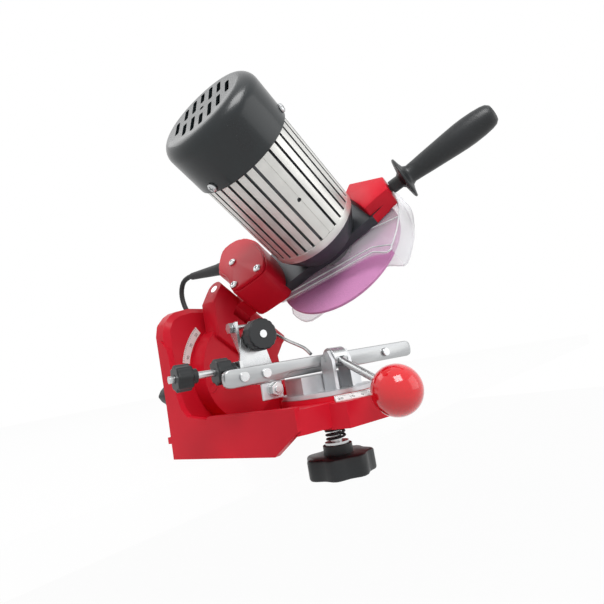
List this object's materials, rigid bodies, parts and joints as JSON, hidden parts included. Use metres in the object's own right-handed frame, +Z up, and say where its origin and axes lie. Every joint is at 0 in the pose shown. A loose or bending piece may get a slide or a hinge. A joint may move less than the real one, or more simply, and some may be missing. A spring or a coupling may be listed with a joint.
{
  "type": "electric_chainsaw_sharpener",
  "caption": "Bench chain grinder: red cast base, tilting hinged motor head with pink wheel and clear guards, turning chain vise with ball lever.",
  "frame": {"origin": "on the vise axis in the plane of the bench face under the base", "axes": "+X to the operator's right, +Y to the rear, +Z up"},
  "size_m": [0.2867, 0.4706, 0.3529],
  "materials": {
    "red_paint": "gloss powder coat on die-cast aluminium",
    "black_plastic": "moulded black plastic, satin",
    "black_rubber": "soft black PVC",
    "zinc_steel": "bright zinc-plated steel",
    "cast_aluminium": "extruded and machined aluminium",
    "winding": "laminations and copper winding",
    "clear_guard": "clear polycarbonate",
    "pink_abrasive": "vitrified pink abrasive",
    "red_gloss": "polished red plastic",
    "scale_plate": null
  },
  "bodies": {
    "base": {"base_casting": "red_paint", "tilt_scale_plate": "scale_plate", "cord_lower": "black_rubber", "cord_coil": "black_rubber", "cord_tail": "black_rubber", "cord_tie": "black_plastic", "plug": "black_rubber", "lock_washer": "zinc_steel", "lock_spring": "zinc_steel"},
    "tilt_head": {"tilt_bracket": "red_paint", "hinge_pin": "zinc_steel", "pivot_bolt": "zinc_steel", "tilt_stud": "zinc_steel", "cord_upper": "black_rubber"},
    "tilt_knob": {"tilt_lock_knob": "black_plastic"},
    "arm": {"arm_casting": "red_paint", "hinge_cover": "red_paint", "cover_screw_1": "zinc_steel", "cover_screw_2": "zinc_steel", "cover_screw_3": "zinc_steel", "strain_relief": "black_rubber", "motor_end_bell": "cast_aluminium", "motor_body": "cast_aluminium", "stator": "winding", "fan_cover": "black_plastic", "fan_cover_screw_1": "zinc_steel", "fan_cover_screw_2": "zinc_steel", "near_guard": "clear_guard", "far_guard": "clear_guard", "guard_screw_1": "zinc_steel", "guard_screw_2": "zinc_steel", "handle_grip": "black_plastic", "switch_body": "black_plastic"},
    "switch": {"switch_rocker": "red_gloss"},
    "rotor": {"rotor_shaft": "zinc_steel", "cooling_fan": "black_plastic", "inner_flange": "zinc_steel", "grinding_wheel": "pink_abrasive", "outer_flange": "zinc_steel", "wheel_nut": "zinc_steel"},
    "vise": {"turntable": "cast_aluminium", "rear_rail": "zinc_steel", "stop_plate": "zinc_steel", "pawl_plate": "zinc_steel", "pawl_stud": "zinc_steel", "pawl_bolt": "zinc_steel", "table_stud": "zinc_steel"},
    "front_jaw": {"front_rail": "zinc_steel", "rail_rivet_1": "zinc_steel", "rail_rivet_2": "zinc_steel", "rail_rivet_3": "zinc_steel"},
    "clamp_lever": {"lever_hub": "zinc_steel", "lever_rod": "zinc_steel", "lever_ball": "red_gloss"},
    "stop_screw": {"stop_rod": "zinc_steel", "stop_knob": "black_plastic"},
    "stop_lock": {"lock_collar_knob": "black_plastic"},
    "pawl": {"stop_pawl": "zinc_steel"},
    "pawl_dial": {"pawl_knob": "black_plastic"},
    "vise_lock": {"lock_knob": "black_plastic"}
  },
  "joints": [
    {"name": "head_tilt", "type": "hinge", "parent": "base", "child": "tilt_head", "pos_m": [0, 0, 0.072], "axis": [0, 1, 0], "range_deg": [-36, 0]},
    {"name": "tilt_knob_turn", "type": "hinge", "parent": "tilt_head", "child": "tilt_knob", "pos_m": [-0.0408, 0.15, 0.05843], "axis": [0, 1, 0], "range_deg": [-180, 180]},
    {"name": "arm_hinge", "type": "hinge", "parent": "tilt_head", "child": "arm", "pos_m": [0.01322, 0.107, 0.13376], "axis": [-0.8151, 0, 0.5793], "range_deg": [-24, 0], "stiffness_Nm_per_rad": 9, "springref_deg": 60.16},
    {"name": "wheel_spin", "type": "hinge", "parent": "arm", "child": "rotor", "pos_m": [0.07034, 0.0096, 0.17098], "axis": [-0.8151, 0, 0.5793], "continuous": true},
    {"name": "switch_press", "type": "hinge", "parent": "arm", "child": "switch", "pos_m": [0.04439, 0.09519, 0.15224], "axis": [-0.5157, -0.4555, -0.7256], "range_deg": [0, 8]},
    {"name": "vise_turn", "type": "hinge", "parent": "base", "child": "vise", "pos_m": [0, 0, 0.04], "axis": [0, 0, 1], "range_deg": [-17, 52]},
    {"name": "clamp_swing", "type": "hinge", "parent": "vise", "child": "clamp_lever", "pos_m": [-0.00587, -0.01818, 0.068], "axis": [-0.9516, 0.3074, 0], "range_deg": [0, 60]},
    {"name": "jaw_slide", "type": "slide", "parent": "vise", "child": "front_jaw", "axis": [-0.3074, -0.9516, 0], "range_m": [0, 0.00055]},
    {"name": "stop_slide", "type": "slide", "parent": "vise", "child": "stop_screw", "axis": [0.9516, -0.3074, 0], "range_m": [-0.006, 0.01]},
    {"name": "stop_lock_turn", "type": "hinge", "parent": "vise", "child": "stop_lock", "pos_m": [-0.08149, 0.04051, 0.072], "axis": [0.9516, -0.3074, 0], "range_deg": [-180, 180]},
    {"name": "pawl_lift", "type": "hinge", "parent": "vise", "child": "pawl", "pos_m": [-0.05159, 0.05502, 0.1085], "axis": [0.9516, -0.3074, 0], "range_deg": [-25, 0]},
    {"name": "pawl_dial_turn", "type": "hinge", "parent": "vise", "child": "pawl_dial", "pos_m": [-0.03875, 0.03458, 0.0985], "axis": [-0.3074, -0.9516, 0], "range_deg": [-180, 180]},
    {"name": "vise_lock_turn", "type": "hinge", "parent": "base", "child": "vise_lock", "pos_m": [0, 0, -0.02], "axis": [0, 0, 1], "range_deg": [-180, 180]}
  ],
  "couplings": [
    {"joint": "jaw_slide", "follows": "clamp_swing", "m_per_rad": 0.0005}
  ]
}
